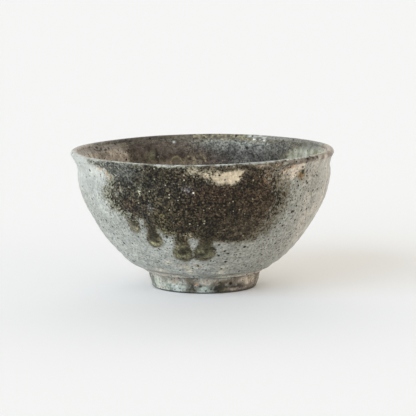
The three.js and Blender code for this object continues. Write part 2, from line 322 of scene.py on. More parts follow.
class Places:
    """Places on a drawn surface, as arrays of bearings, levels and points. Spots on it are unrolled at one
    radius, or at the outer wall's own where none is given."""

    def __init__(self, bearing, level, points, radius=None):
        self.bearing = bearing
        self.level = level
        self.points = points
        self.radius = radius

    def unrolled(self, radius):
        return Places(self.bearing, self.level, self.points, radius)

    def flat(self):
        return Places(self.bearing.ravel(), self.level.ravel(), self.points.reshape(-1, 3), self.radius)

    def noise(self, size, seed, stretch=(1, 1, 1)):
        return noise(self.points * np.array(stretch), size, seed)

    def cloud(self, size, seed, low=-0.4, high=0.4, stretch=(1, 1, 1)):
        """Mask from 0 to 1 made of noise; a stretch below 1 draws its lumps out along that axis."""
        return smooth(low, high, self.noise(size, seed, stretch))

    def from_spot(self, at, across, tall):
        """Way from one place, as shares of a half width and a half height."""
        radius = self.radius or outer_radius(at[1])
        return sideways(self.bearing, at[0], radius) / across, (self.level - at[1]) / tall

    def spot(self, at, across, tall):
        """Soft oval mask around one place, from 0 to 1."""
        right, up = self.from_spot(at, across, tall)
        return np.exp(-(right ** 2 + up ** 2))

    def ring(self, at, across, tall, soft):
        """Soft mask of an oval line around one place; its softness is a share of its reach."""
        return hump(np.hypot(*self.from_spot(at, across, tall)), 1, soft)

    def spotted(self, paint, spots, share=1, gain=1):
        """Paint with spots on it; the gain, a number or an array, fills them out or makes them ragged."""
        for at, across, tall, tone in spots:
            paint = mixed(paint, tone, share * np.clip(gain * self.spot(at, across, tall), 0, 1))
        return paint

    def inside_distance(self, outline):
        """Distance to an outline of (bearing, level) points, in millimetres, positive inside it."""
        middle = (outline[0][0] + outline[-1][0]) / 2
        x = sideways(self.bearing, middle, UNROLL_RADIUS)
        corners = [(sideways(turn, middle, UNROLL_RADIUS), height) for turn, height in outline]
        nearest = np.full(x.shape, np.inf)
        inside = np.zeros(x.shape, bool)
        for (ax, ay), (bx, by) in zip(corners, corners[1:] + corners[:1]):
            dx = bx - ax
            dy = by - ay
            t = np.clip(((x - ax) * dx + (self.level - ay) * dy) / (dx * dx + dy * dy), 0, 1)
            nearest = np.minimum(nearest, np.hypot(x - ax - t * dx, self.level - ay - t * dy))
            if dy:
                crossed = (ay > self.level) != (by > self.level)
                inside ^= crossed & (x < ax + (self.level - ay) * dx / dy)
        return np.where(inside, nearest, -nearest)


# Section lines of the bowl, as (radius, height)

def bezier(points, count):
    a, b, c, d = (np.array(point, float) for point in points)
    t = np.linspace(0, 1, count)[:, None]
    return (1 - t) ** 3 * a + 3 * (1 - t) ** 2 * t * b + 3 * (1 - t) * t ** 2 * c + t ** 3 * d


def line_length(line):
    return np.concatenate([[0], np.cumsum(np.hypot(*np.diff(line, axis=0).T))])


def resampled(line, count, crowding=1.0):
    """Points along a line, even or crowded towards its start."""
    length = line_length(line)
    at = length[-1] * np.linspace(0, 1, count) ** crowding
    return np.stack([np.interp(at, length, line[:, 0]), np.interp(at, length, line[:, 1])], 1)


def right_normals(line):
    along = np.gradient(line, axis=0)
    along /= np.hypot(*along.T)[:, None]
    return np.stack([along[:, 1], -along[:, 0]], 1)


def offset_line(line, depth):
    return line - right_normals(line) * depth


def outer_wall_line():
    """Outside of the wall, from the foot up to the lip's widest line."""
    neck = (NECK_RADIUS, NECK_HEIGHT)
    run_out = (WALL_START[0] + WALL_RUN_OUT, WALL_START[1] + WALL_LIFT)
    wall = bezier([WALL_START, run_out, (NECK_RADIUS, NECK_HEIGHT - WAIST_DROP), neck], WALL_POINTS)
    handles = [(NECK_RADIUS, NECK_HEIGHT + FLARE_START), (RIM_RADIUS, LIP_HEIGHT - FLARE_END)]
    flare = bezier([neck, *handles, (RIM_RADIUS, LIP_HEIGHT)], FLARE_POINTS)
    return np.vstack([wall, flare[1:]])


def lip_line():
    turn = np.linspace(0, math.pi, LIP_POINTS)[1:]
    across = RIM_RADIUS - LIP_RADIUS + LIP_RADIUS * np.cos(turn)
    return np.stack([across, LIP_HEIGHT + LIP_RADIUS * np.sin(turn)], 1)


def inner_wall_line():
    """Inside of the wall, from the lip's inner edge down to the axis."""
    wall = outer_wall_line()
    taper = np.clip((LIP_HEIGHT - wall[:, 1]) / FLARE_HEIGHT, 0, 1)
    thickness = LIP_THICKNESS + (WALL_THICKNESS - LIP_THICKNESS) * taper
    moved = offset_line(wall, thickness[:, None])[::-1]
    below_lip = moved[:, 1] < LIP_HEIGHT - LIP_RADIUS
    above_well = moved[:, 1] > WELL_HEIGHT + WELL_ROUNDING
    moved = moved[below_lip & above_well]
    last = moved[-1]
    slope = last - moved[-6]
    corner = last + slope * (WELL_HEIGHT - last[1]) / slope[1]
    t = np.linspace(0, 1, WELL_POINTS)[1:, None]
    well = (1 - t) ** 2 * last + 2 * (1 - t) * t * corner + t ** 2 * np.array([0, WELL_HEIGHT])
    return np.vstack([lip_line()[-1:], moved, well])


OUTER_WALL = outer_wall_line()
INNER_WALL = inner_wall_line()


def outer_radius(height):
    return np.interp(height, OUTER_WALL[:, 1], OUTER_WALL[:, 0])


def foot_radius(height):
    return FOOT_BOTTOM_RADIUS + (FOOT_TOP_RADIUS - FOOT_BOTTOM_RADIUS) * height / FOOT_HEIGHT


# Hand-thrown unevenness, shared by every piece

def rim_rise(b):
    """How far the rim stands above its drawn height around the bowl: it is lowest at the back left."""
    tilt = 0.18 + 0.72 * np.sin(b) + 0.45 * np.cos(b)
    wave = 0.14 * np.sin(2 * b) - 0.1 * np.cos(2 * b) + 0.15 * np.sin(3 * b) - 0.15 * np.cos(3 * b)
    front_left = 0.35 * hump(b, -0.65, 0.3) + 0.14 * hump(b, -0.25, 0.4)
    back = 0.25 * hump(b, -2.2, 0.35) + 0.18 * hump(b, 2.45, 0.35)
    return tilt + wave + front_left - back


def hand_thrown(points):
    """Moves points of the drawn bowl to where the potter's hands left them."""
    x, y, z = np.moveaxis(points, -1, 0)
    b = np.arctan2(x, -y)
    radius = np.hypot(x, y)
    right = np.maximum(np.sin(b), 0)
    left = np.maximum(-np.sin(b), 0)
    body = smooth(9, 24, z)
    above_foot = smooth(26, 30, radius)
    grown = (0.35 * hump(z, 56, 5) - 0.6 * smooth(56, 63.5, z)) * np.sin(b)
    grown += hump(z, 12.3, 1.9) * above_foot * (0.15 - 0.5 * np.sin(b))
    fuller_right = 0.45 * (smooth(16, 22, z) + hump(z, 43, 7) - hump(z, 57.8, 2.2))
    cut_right = (0.5 * hump(z, 11, 2) + hump(z, 8.8, 1)) * above_foot
    grown += right * (fuller_right - cut_right)
    grown += left * (0.6 * hump(z, 14, 3) * above_foot - 0.4 * hump(z, 33, 4.5))
    foot = smooth(22, 25, radius) * smooth(8.6, 8.0, z)
    narrow_foot = right * (0.15 + 0.5 * smooth(4, 0.5, z)) - left * 0.2 * smooth(3, 6, z)
    grown += foot * (0.5 * np.exp((np.minimum(z, 8) - 8) / 0.9) - narrow_foot)
    grown += body * (0.15 * np.cos(2 * b + 1.6) * np.cos(b) ** 2 + 0.1 * np.cos(b))
    wide = radius + grown * smooth(0, 25, radius)
    foot_shift = 0.9 * (1 - body) * smooth(12, 20, radius)
    return np.stack([
        wide * np.sin(b) + foot_shift,
        -wide * np.cos(b),
        z + smooth(20, 63, z) * rim_rise(b),
    ], -1)


def throwing_rings(wall):
    """Relief of the potter's fingers: a spiral that fades in and out, and soft dents."""
    spiral = np.sin(2 * math.pi * (wall.level / 3.3 + wall.bearing / 360))
    strength = 0.04 + 0.04 * wall.noise(14, 11) + 0.07 * smooth(24, 14, wall.level)
    below_crown = smooth(CROWN_LEVEL + 2, CROWN_LEVEL - 1, wall.level)
    return (strength * spiral + 0.06 * wall.noise(7, 12)) * below_crown


def lining_rings(wall):
    return 0.8 * throwing_rings(wall) * within(wall.level, (13, 16), (60, 64))


def foot_turning(foot):
    """Relief of the trimming tool on the foot: shallow lines around it, none on the standing face."""
    lines = np.sin(2 * math.pi * (foot.level / 1.7 + foot.bearing / 360)) * 0.05
    return (lines + 0.12 * foot.noise(3, 71)) * within(foot.level, (0.2, 1.2), (7.2, 7.9))


def underside_turning(base):
    """Relief of the trimming tool under the bowl: a flat spiral around a small middle point."""
    radius = np.hypot(base.points[..., 0], base.points[..., 1])
    spiral = np.sin(2 * math.pi * (radius / 2.6 + base.bearing / 360)) * smooth(0.5, 3, radius)
    return (-0.14 + 0.12 * spiral + 0.06 * base.noise(3, 72)) * smooth(19.8, 18.5, radius)


# Ash, as depths in millimetres: positive inside it

def run_centre(run, up):
    """Bearing of a run's middle at a height above its tip."""
    long = run["top"][1] - run["tip"][1]
    return run["tip"][0] + (run["top"][0] - run["tip"][0]) * np.clip(up / long, 0, 1)


def run_half(run, up):
    """Half width of a run at a height above its tip: the bulb's, then the neck's."""
    return run["bulb"] + (run["neck"] - run["bulb"]) * smooth(1.1, 1.8, up / run["bulb"])


def run_depth(run, wall):
    up = wall.level - run["tip"][1]
    off = np.abs(sideways(wall.bearing, run_centre(run, up), outer_radius(wall.level)))
    below = np.maximum(run["bulb"] - up / BULB_SQUASH, 0)
    return np.minimum(run_half(run, up) - np.hypot(off, below), run["top"][1] - wall.level)


def run_wander(wall):
    return 0.35 * wall.noise(2.2, 23)


def curtain_depth(wall):
    wander = 0.8 * wall.noise(5, 21) + 0.45 * wall.noise(2.2, 22)
    depth = wall.inside_distance(ASH_OUTLINE) + wander * (0.4 + 0.6 * smooth(36, 44, wall.level))
    bare = wall.inside_distance(BARE_PATCH) + wander
    return -higher(-depth, bare, 0.8)


def outer_ash_depth(wall):
    depth = curtain_depth(wall)
    wander = run_wander(wall)
    for run in ASH_RUNS.values():
        depth = higher(depth, run_depth(run, wall) + wander, 1.2)
    return depth


def inner_ash_depth(wall):
    return wall.inside_distance(INNER_ASH_OUTLINE) + 1.3 * wall.noise(6, 41) + 0.6 * wall.noise(2.6, 42)


def outer_fray(wall):
    """How far the ash border breaks up into grains: little at hem and lip, much at the sides."""
    bearing, level = wall.bearing, wall.level
    left = smooth(-32, -41, bearing) * smooth(36, 43, level)
    left_top = smooth(-42, -46, bearing) * smooth(58, 61, level)
    right = smooth(19, 31, bearing) * smooth(25, 33, level)
    loose = (2.9 - 0.7 * smooth(52, 57, level)) * left * (1 - 0.75 * left_top) + 3.4 * right
    loose += 2.6 * wall.spot((-37, 35.5), 3.5, 4) + wall.spot((1, 61.5), 7, 3)
    under_lip = smooth(62.5, 64.5, level)
    return HEM_FRAY + loose * (1 - under_lip) - 0.15 * under_lip


# Colours painted on the points of each surface

def run_paint(paint, run, wall):
    """A run's lighter end, with a darker line around it."""
    up = (wall.level - run["tip"][1]) / run["bulb"]
    depth = run_depth(run, wall) + 0.6 * wall.noise(1.8, 27)
    bulb = hump(up / run["pale"], 0.78, 1) * smooth(-0.4, 0.8, depth)
    paint = mixed(paint, run["tone"], np.clip(bulb * (0.8 + 0.8 * wall.noise(1.8, 24)), 0, 1))
    outline = hump(depth, 0.35, 0.4) * smooth(2.0, 0.8, up)
    return mixed(paint, (44, 41, 29), 0.4 * outline)


def outer_ash_paint(wall, depth):
    bearing, level = wall.bearing, wall.level
    paint = np.broadcast_to(colour((37, 32, 23)), wall.points.shape)
    paint = mixed(paint, (44, 41, 32), smooth(-5, -35, bearing) * smooth(34, 52, level))
    paint = mixed(paint, (49, 40, 29), smooth(0, 30, bearing))
    under_lip = smooth(58, 63, level)
    paint = mixed(paint, (82, 84, 79), 0.6 * under_lip * smooth(-24, -34, bearing))
    paint = mixed(paint, (88, 81, 69), 0.25 * under_lip * within(bearing, (-16, -8), (18, 26)))
    paint = wall.spotted(paint, ASH_PATCHES, 0.85, 0.975 + 0.91 * wall.noise(2, 28))
    hem = smooth(3.4, 0.4, depth) * smooth(40, 34, level)
    paint = mixed(paint, (78, 68, 48), 0.4 * hem * wall.cloud(2, 26, -0.6, 0.3))
    for run in ASH_RUNS.values():
        paint = run_paint(paint, run, wall)
    paint = wall.spotted(paint, BULB_SPOTS, 0.9)
    return mixed(paint, (28, 25, 19), 0.65 * wall.cloud(3.4, 25, 0.1, 0.7))


def lip_tone(wall):
    """Colour of the lip's crown: olive at the back, tan at the right, a broken pale line in front."""
    bearing = wall.bearing
    mottle = wall.cloud(1, 35, -0.3, 0.4)
    tone = mixed((94, 90, 77), (160, 151, 122), mottle)
    for first, second, start, end in LIP_TONES:
        tone = mixed(tone, mixed(first, second, mottle), smooth(start, end, bearing % 360))
    front_left = within(bearing, (-96, -78), (40, 60))
    tone = mixed(tone, mixed((178, 184, 177), (158, 162, 154), mottle), front_left)
    broken = wall.cloud(1.7, 38, -0.5, 0.4)
    tone = mixed(tone, mixed((134, 134, 125), (204, 208, 202), broken), within(bearing, (-60, -44), (44, 66)))
    inner_edge = smooth(CROWN_LEVEL - 0.9, CROWN_LEVEL + 0.3, wall.level)
    left = inner_edge * within(bearing, (-120, -104), (-64, -48))
    tone = mixed(tone, mixed((162, 151, 138), (142, 131, 119), mottle), 0.9 * left)
    right = inner_edge * within(bearing, (32, 44), (64, 76))
    return mixed(tone, mixed((196, 192, 179), (168, 162, 148), mottle), 0.8 * right)


def wall_glaze(wall):
    """The pale jacket: palest at the upper left, painted shade below that, darker right of the front, warm
    streaks and painted light at the far right.
    """
    bearing, level = wall.bearing, wall.level
    paint = mixed((181, 183, 176), (165, 167, 160), wall.cloud(11, 31, -0.6, 0.6))
    paint = mixed(paint, (186, 188, 182), 0.8 * smooth(-50, -66, bearing) * smooth(40, 56, level))
    paint = mixed(paint, (208, 208, 200), 0.8 * wall.spot((-54.5, 59.4), 6, 3.2))
    # Painted shade: a greyer band on the left where the wall turns downward below the flare
    paint = mixed(paint, (156, 159, 153), 0.75 * wall.spot((-59, 53.4), 8, 2.8))
    paint = mixed(paint, (154, 152, 143), 0.75 * within(bearing, (-2, 16), (56, 76)))
    streaks = wall.cloud(2.4, 32, -0.4, 0.6, (1, 1, 0.1))
    # Warm pale streaks at the far right, partly the glaze's own streaks and partly painted light, as if lit
    # from the right
    right = smooth(46, 68, bearing) * smooth(12, 30, level)
    paint = mixed(paint, (210, 198, 185), 0.75 * right * streaks)
    paint = mixed(paint, (174, 167, 157), 0.5 * right * (1 - streaks))
    wiped = wall.cloud(1.1, 33, -0.2, 0.6, (0.15, 0.15, 1)) * smooth(20, 13, level)
    paint = mixed(paint, (152, 155, 147), 0.6 * wiped)
    return wall.spotted(paint, CREAM_SMEARS, 0.9)


def junction_shade_and_ochre(paint, wall):
    """Painted shade where the body meets the foot: a dark line, paler glaze below it that is the foot's tone
    and painted light on the corner's shade, and a thread of ochre above.
    """
    beside = smooth(8, 26, np.abs(wall.bearing + 3))
    shade_line_level = 8.4 + 1.6 * beside
    # Paler glaze below the line: the foot's tone, and painted light that lightens the shade in the corner
    below = smooth(shade_line_level + 0.2, shade_line_level - 0.6, wall.level) * beside
    paint = mixed(paint, (196, 189, 176), 0.9 * below * smooth(100, 70, np.abs(wall.bearing)))
    # Painted shade: a dark line where the body meets the foot
    painted_seam_shade = hump(wall.level, shade_line_level, 0.6) * wall.cloud(5, 29, -0.7, 0.3)
    paint = mixed(paint, (104, 101, 91), 0.6 * painted_seam_shade)
    ochre = wall.spot((-9, 15.5), 6, 0.6) * wall.cloud(1.5, 34, -0.1, 0.4)
    return mixed(paint, (174, 144, 94), 0.9 * ochre)


def bare_wedge(paint, wall):
    """The cream wedge right of the ash with its rusty and dark upper edges, the tan band under the lip above
    it, and the brown stain and dark pits at its end."""
    bearing, level = wall.bearing, wall.level
    top = 62.9 - 4.9 * np.exp(-np.maximum(bearing - 35, -3) / 3)
    bottom = 55.1 + (bearing - 38) * 0.26
    wedge = smooth(-0.8, 0.8, level - bottom) * smooth(0.5, -0.5, level - top)
    wedge *= within(bearing, (35, 39), (49, 53)) * (0.9 + 0.4 * wall.noise(1.6, 36))
    tone = mixed((174, 163, 148), (218, 205, 187), smooth(38, 45, bearing))
    paint = mixed(paint, tone, np.clip(wedge, 0, 1))
    rust = hump(level - top, -0.5, 0.6) * within(bearing, (34, 38), (43, 47))
    paint = mixed(paint, (178, 138, 100), 0.8 * rust)
    under_lip = within(level, (62.2, 63.4), (65, 66.2)) * within(bearing, (28, 38), (84, 112))
    paint = mixed(paint, (122, 105, 90), 0.85 * under_lip * wall.cloud(2, 37, -0.7, 0.2))
    dark_line = hump(level - top, 0.8, 0.6) * within(bearing, (33, 37), (46, 50))
    paint = mixed(paint, (70, 61, 52), 0.65 * dark_line * wall.cloud(1.6, 40, -0.6, 0.2))
    brown = wall.spot((49.2, 57.2), 3, 2) * (1.3 + 0.5 * wall.noise(1.6, 39))
    paint = mixed(paint, (122, 100, 66), np.clip(brown, 0, 1))
    return wall.spotted(paint, LIP_PITS, gain=1.6)


def ash_sparkle(wall):
    """How grainy the ash is: less so in the ends of the runs and where it melted smoother."""
    in_runs = []
    for run in ASH_RUNS.values():
        in_bulb = smooth(3.2, 1.8, (wall.level - run["tip"][1]) / run["bulb"])
        in_runs.append(in_bulb * smooth(-1, 0.5, run_depth(run, wall)))
    still = [share * wall.spot(at, across, tall) for at, across, tall, share in STILL_ASH]
    return 0.9 + 0.2 * smooth(20, -10, wall.bearing) - 0.7 * np.max(in_runs, axis=0) - np.max(still, axis=0)


def outer_paint(wall):
    bearing, level = wall.bearing, wall.level
    depth = outer_ash_depth(wall)
    bare = wall.inside_distance(BARE_PATCH)
    paint = junction_shade_and_ochre(wall_glaze(wall), wall)
    paint = mixed(paint, (196, 181, 156), smooth(-3.0, 0.5, bare))
    darkened = np.exp(np.minimum(depth, 0) / 3) * smooth(60, 54, level) * smooth(-2.0, -3.5, bare)
    paint = mixed(paint, (134, 135, 126), 0.7 * darkened)
    paint = mixed(paint, (114, 114, 104), 0.6 * wall.spot((34, 33.5), 4.5, 4.5))
    flash = np.max([wall.spot(*place) for place in FLASHES], axis=0)
    paint = mixed(paint, (190, 154, 112), 0.95 * flash)
    paint = bare_wedge(paint, wall)
    on_crown = smooth(CROWN_LEVEL - 1.5, CROWN_LEVEL - 0.9, level)
    paint = mixed(paint, lip_tone(wall), 0.95 * on_crown)

    specks = 0.62 + 0.3 * np.exp(-np.abs(depth) / 7) + 0.35 * smooth(0, 30, bearing)
    clear_left = within(bearing, (-118, -104), (-56, -46)) * smooth(46, 56, level)
    clear_right = within(bearing, (52, 68), (120, 140))
    specks *= 1 - np.maximum(0.8 * clear_left, 0.65 * clear_right)
    depth = depth - 2.5 * flash
    stain = mixed((170, 169, 144), (116, 110, 86), smooth(43, 36, level))
    return {
        # painted highlights on the lip's inner side
        "paint": wall.spotted(paint, PAINTED_LIP_HIGHLIGHTS, 0.9),
        "ash_paint": outer_ash_paint(wall, depth),
        "stain": mixed(stain, (126, 117, 100), smooth(-20, 15, bearing)),
        "ash": depth,
        "fray": outer_fray(wall),
        "speck": specks * (1 - 0.5 * smooth(-1, 1, bare)),
        "sparkle": ash_sparkle(wall),
    }


def lining_paint(wall, turn, green, mottle, streaks):
    """The lining: warm grey on the left, streaked green and shaded under the lip on the right."""
    level = wall.level
    paint = mixed((160, 154, 142), (148, 138, 126), wall.cloud(9, 43, -0.5, 0.5))
    left = within(turn, (205, 222), (280, 300))
    paint = mixed(paint, mixed((183, 170, 157), (164, 152, 140), mottle), left)
    paint = mixed(paint, (206, 196, 184), 0.9 * within(turn, (242, 254), (280, 300)))
    paint = mixed(paint, (130, 124, 116), 0.85 * left * smooth(60.6, 63.0, level))
    paint = mixed(paint, mixed((172, 172, 151), (127, 125, 102), streaks), green)
    shade = smooth(59.5, 61.3, level - 0.08 * (132 - turn)) * smooth(98, 112, turn)
    paint = mixed(paint, mixed((106, 104, 96), (86, 84, 77), streaks), 0.85 * green * shade)
    bright = wall.spot((120, 59.6), 7, 2.4)
    paint = mixed(paint, mixed((192, 193, 180), (160, 160, 146), streaks), 0.85 * bright)
    pool = smooth(21, 16, level)
    paint = mixed(paint, (150, 156, 140), 0.7 * pool)
    paint = mixed(paint, (120, 112, 102), 0.7 * left * wall.cloud(3, 46, 0.1, 0.6))
    crescent = wall.ring(BUBBLE, 3.4, 1.75, 0.26) * smooth(63.6, 62.8, level)
    paint = mixed(paint, (48, 41, 35), 0.95 * crescent)
    paint = wall.spotted(paint, LINING_PITS, gain=2.2)
    return mixed(paint, (136, 128, 113), 0.3 * wall.spot(*PALE_LEFT))


def inner_ash_paint(wall, turn, mottle, streaks):
    """Ash on the back wall: brown on the left, grey on the right, olive along the rim."""
    level = wall.level
    paint = mixed((90, 81, 73), (72, 63, 57), mottle)
    paint = mixed(paint, (70, 60, 54), 0.5 * wall.cloud(1.6, 47, stretch=(1, 1, 0.12)))
    paint = mixed(paint, (72, 62, 56), 0.6 * wall.spot((199.5, 60.2), 5, 3.5))
    paint = mixed(paint, (104, 96, 87), 0.5 * smooth(55, 60, level) * smooth(210, 198, turn))
    right = smooth(192, 174, turn + 1.6 * (62 - level))
    grey = mixed((90, 88, 84), (122, 123, 117), smooth(56.5, 61.5, level))
    paint = mixed(paint, mixed(grey, 0.7 * grey, streaks), right)
    paint = mixed(paint, (84, 81, 75), 0.75 * smooth(150, 142, turn))
    dark_patch = right * smooth(59, 56, level) * smooth(163, 170, turn)
    paint = mixed(paint, (68, 61, 56), 0.35 * dark_patch)
    low_left = smooth(55.0, 52.4, level) * within(turn, (178, 184), (211, 217))
    paint = mixed(paint, (122, 111, 94), 0.6 * low_left)
    for at in INNER_ARCHES:
        arch = wall.ring(at, 2.8, 2.8, 0.21) * smooth(-2, -1, level - at[1])
        paint = mixed(paint, (130, 118, 94), 0.8 * arch)
    paint = mixed(paint, (108, 106, 83), 0.8 * wall.spot((207.4, 56.3), 2.4, 2.2))
    paint = mixed(paint, PIT, 0.95 * wall.spot((204, 56.2), 1.2, 2.4))
    paint = mixed(paint, (132, 125, 110), 0.3 * wall.spot(*PALE_LEFT))
    olive = within(turn, (136, 144), (176, 186))
    rim_tone = mixed((88, 83, 74), mixed((96, 92, 80), (140, 131, 104), mottle), olive)
    paint = mixed(paint, rim_tone, 0.8 * smooth(61.6, 63.8, level))
    # Painted highlights on the back wall
    paint = wall.spotted(paint, PAINTED_INNER_HIGHLIGHTS, 0.9)
    return wall.spotted(paint, [((157.4, 59.5), 0.8, 0.7, (20, 20, 20))], gain=1.6)


def inner_paint(places):
    wall = places.unrolled(NECK_RADIUS)
    turn = wall.bearing % 360
    mottle = wall.cloud(2, 44)
    streaks = wall.cloud(1.5, 45, stretch=(1, 1, 0.25))
    green = smooth(138, 130, turn + 1.26 * (wall.level - 58)) * smooth(70, 90, turn)
    return {
        "paint": lining_paint(wall, turn, green, mottle, streaks),
        "ash_paint": inner_ash_paint(wall, turn, mottle, streaks),
        "stain": np.broadcast_to(colour((128, 119, 98)), wall.points.shape),
        "ash": inner_ash_depth(wall),
        "fray": np.full(turn.shape, 1.6),
        "speck": 0.6 - 0.3 * green,
        "sparkle": 0.24 + 0.18 * smooth(194, 182, turn),
    }


def foot_paint(places):
    """Glaze on the left and front of the foot, thinning out to bare clay on the right, with painted shade
    under the body and a dark bottom edge widened by painted shade.
    """
    foot = places.unrolled(FOOT_TOP_RADIUS)
    bearing, level = foot.bearing, foot.level
    mottle = foot.cloud(1.8, 55)
    wipes = foot.cloud(1, 51, -0.2, 0.5, (0.2, 0.2, 1))
    glaze = mixed((187, 187, 176), (156, 165, 151), mottle)
    glaze = mixed(glaze, mixed((128, 131, 123), (172, 179, 173), wipes), smooth(-46, -34, bearing))
    glaze = mixed(glaze, (150, 141, 128), 0.7 * smooth(4.4, 6.0, level) * mottle)
    clay = mixed((160, 150, 137), (120, 110, 100), foot.cloud(2.4, 52, -0.4, 0.5))
    bare = smooth(20, 34, bearing + 4 * foot.noise(3, 53)) * smooth(168, 150, bearing)
    ragged = 0.8 + 0.6 * foot.noise(1.4, 54) + 0.6 * foot.noise(0.7, 57)
    paint = foot.spotted(mixed(glaze, clay, bare), FOOT_PATCHES, 0.9, 2.2 * ragged)
    paint = foot.spotted(paint, [((28, 4.7), 0.8, 0.7, (24, 22, 20))], gain=1.8)
    paint = mixed(paint, (200, 152, 116), 0.85 * foot.spot((-8.5, 4.6), 0.7, 0.6))
    # Dark band along the foot's bottom edge, widened towards the right as painted shade
    dark_edge_and_shade_height = 1.1 + 1.2 * smooth(8, 30, bearing)
    paint = mixed(paint, (54, 50, 41), 0.85 * smooth(dark_edge_and_shade_height, 0.4, level))
    # Painted shade along the foot's top, under the body's overhang, deeper at the ledge bearings
    ledge_shade = np.maximum(within(bearing, (-22, -16), (-8, -2)), within(bearing, (7, 15), (42, 50)))
    shade_under_body = smooth(6.8, 7.6, level + 0.6 * foot.noise(3.5, 56))
    paint = mixed(paint, (80, 77, 69), (0.1 + 0.45 * ledge_shade) * shade_under_body)
    return {"paint": paint, "speck": np.full(level.shape, 0.7)}


def clay_paint(base):
    """Bare clay under the bowl, with a thin wash of glaze that strayed over it."""
    paint = mixed((176, 158, 142), (156, 138, 122), base.cloud(5, 61, -0.5, 0.5))
    paint = mixed(paint, (180, 178, 166), 0.5 * base.cloud(9, 62, 0.0, 0.5))
    return {"paint": paint, "speck": np.full(base.level.shape, 0.3)}


# Meshes

# Strips of the texture, from low to high: the front half of a turned piece, its back half and what is hidden
FRONT_STRIP = (0.53, 0.99)
BACK_STRIP = (0.05, 0.51)
HIDDEN_STRIP = (0.005, 0.035)
SIDE_MARGIN = 0.01

# Strips of the texture of a coat: its face, its back and its narrow side
COAT_FACE_STRIP = (0.06, 0.99)
COAT_BACK_STRIP = (0.01, 0.04)
COAT_SIDE_STRIP = (0.002, 0.006)


def column_bearings(density):
    share = np.arange(COLUMNS) / COLUMNS - 0.5
    return 360 * (share - density * np.sin(2 * math.pi * share) / (2 * math.pi))


def around_axis(radius, bearing, height):
    angle = np.radians(bearing)
    return np.stack(np.broadcast_arrays(radius * np.sin(angle), -radius * np.cos(angle), height), -1)


def turned(line, bearings):
    """Points, or directions, of a (radius, height) line at every bearing."""
    return around_axis(line[:, :1], bearings[None, :], line[:, 1:])


def grid_faces(rows, columns, wrap_rows=False, wrap_columns=False):
    """Quads of a grid of points whose rows rise and whose columns run to the right, seen from outside."""
    row = np.arange(rows if wrap_rows else rows - 1)
    column = np.arange(columns if wrap_columns else columns - 1)
    low, left = np.meshgrid(row, column, indexing="ij")
    high = (low + 1) % rows
    right = (left + 1) % columns
    corners = [low * columns + left, low * columns + right, high * columns + right, high * columns + left]
    return np.stack(corners, -1).reshape(-1, 4)


def quad_uvs(left, right, low, high):
    """Texture places of quads from their edges."""
    left, right, low, high = np.broadcast_arrays(left, right, low, high)
    corners = [(left, low), (right, low), (right, high), (left, high)]
    return np.stack([np.stack(corner, -1) for corner in corners], -2).reshape(-1, 4, 2)


def grid_uvs(rows, columns, strip):
    row = np.linspace(*strip, rows)
    column = np.linspace(SIDE_MARGIN, 1 - SIDE_MARGIN, columns)
    return quad_uvs(column[None, :-1], column[None, 1:], row[:-1, None], row[1:, None])


def ring_uvs(bearings, low, high, shown):
    """Texture places of one ring of quads, from two shares of the way along the shown or the hidden line."""
    right = np.append(bearings[1:], bearings[0] + 360)
    if shown:
        front = np.abs((bearings + right) / 2) < 90
        start = np.where(front, bearings + 90, (bearings - 90) % 360) / 180
        end = start + (right - bearings) / 180
        start, end = (SIDE_MARGIN + (1 - 2 * SIDE_MARGIN) * share for share in (start, end))
        bottom = np.where(front, FRONT_STRIP[0], BACK_STRIP[0])
        span = FRONT_STRIP[1] - FRONT_STRIP[0]
    else:
        start = (bearings + 180) / 360
        end = (right + 180) / 360
        bottom = HIDDEN_STRIP[0]
        span = HIDDEN_STRIP[1] - HIDDEN_STRIP[0]
    return quad_uvs(start, end, bottom + low * span, bottom + high * span)


def turned_uvs(line, shown, bearings, rows):
    """Texture places of the quads between the rows of a turned line, ring by ring."""
    step = np.hypot(*np.diff(np.vstack([line, line[:1]]), axis=0).T)
    ring_shown = shown & np.roll(shown, -1)
    share = {}
    for kind in (True, False):
        way = np.cumsum(np.where(ring_shown == kind, step, 0))
        share[kind] = np.concatenate([[0], way]) / max(way[-1], 1e-6)
    rings = []
    for row, kind in enumerate(ring_shown[:rows].tolist()):
        rings.append(ring_uvs(bearings, share[kind][row], share[kind][row + 1], kind))
    return rings


def add_attribute(mesh, name, values):
    if values.ndim == 2:
        attribute = mesh.attributes.new(name, "FLOAT_COLOR", "POINT")
        values = np.hstack([values, np.ones((len(values), 1))])
        attribute.data.foreach_set("color", values.astype(np.float32).ravel())
    else:
        attribute = mesh.attributes.new(name, "FLOAT", "POINT")
        attribute.data.foreach_set("value", values.astype(np.float32))


def new_piece(node, points, faces, uvs, on_border, attributes, material):
    """The visible piece that stands for a node. Its border, where the shown side turns into the hidden one,
    is a sharp edge."""
    name = node + "_skin"
    mesh = bpy.data.meshes.new(name)
    mesh.from_pydata((points * MM).tolist(), [], faces)
    mesh.polygons.foreach_set("use_smooth", np.ones(len(faces), bool))
    ends = np.empty(2 * len(mesh.edges), int)
    mesh.edges.foreach_get("vertices", ends)
    mesh.edges.foreach_set("use_edge_sharp", on_border[ends].reshape(-1, 2).all(1))
    mesh.uv_layers.new(name="OFBake").data.foreach_set("uv", uvs.astype(np.float32).ravel())
    for label, values in attributes.items():
        add_attribute(mesh, label, values)
    mesh.materials.append(material)
    piece = bpy.data.objects.new(name, mesh)
    bpy.context.scene.collection.objects.link(piece)
    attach(piece, "root")
    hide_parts(node)


